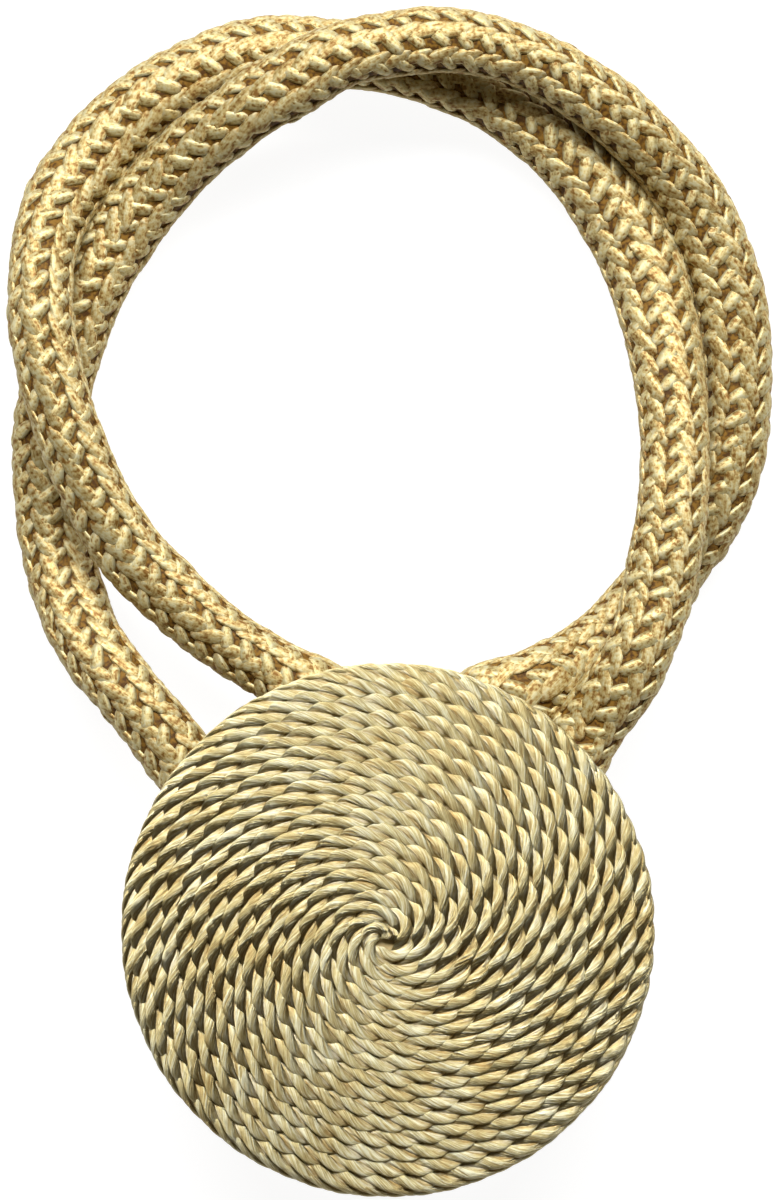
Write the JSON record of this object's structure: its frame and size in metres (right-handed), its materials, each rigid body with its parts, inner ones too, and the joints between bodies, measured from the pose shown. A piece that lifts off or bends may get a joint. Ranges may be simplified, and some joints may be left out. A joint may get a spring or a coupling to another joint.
{
  "type": "magnetic curtain tieback",
  "caption": "Curtain tieback closed into a loop: round cord-wound magnetic discs on ropes of metallic braid, twisted around each other.",
  "frame": {"origin": "under the middle of the two discs, on the surface that the closed tieback lies on", "axes": "+Y from the discs to the top of the loop, +Z out of the front disc's face, +X to the right seen from there"},
  "size_m": [0.0863, 0.1333, 0.0223],
  "materials": {
    "wound_cord": "lustrous twisted rayon cord, pale gold",
    "braided_rope": "glittering metallic yarn braid, gold",
    "disc_back": "plain felt"
  },
  "bodies": {
    "root": {"front_disc": "wound_cord", "rear_disc": "wound_cord", "rope_a": "braided_rope", "rope_b": "braided_rope"}
  },
  "joints": []
}
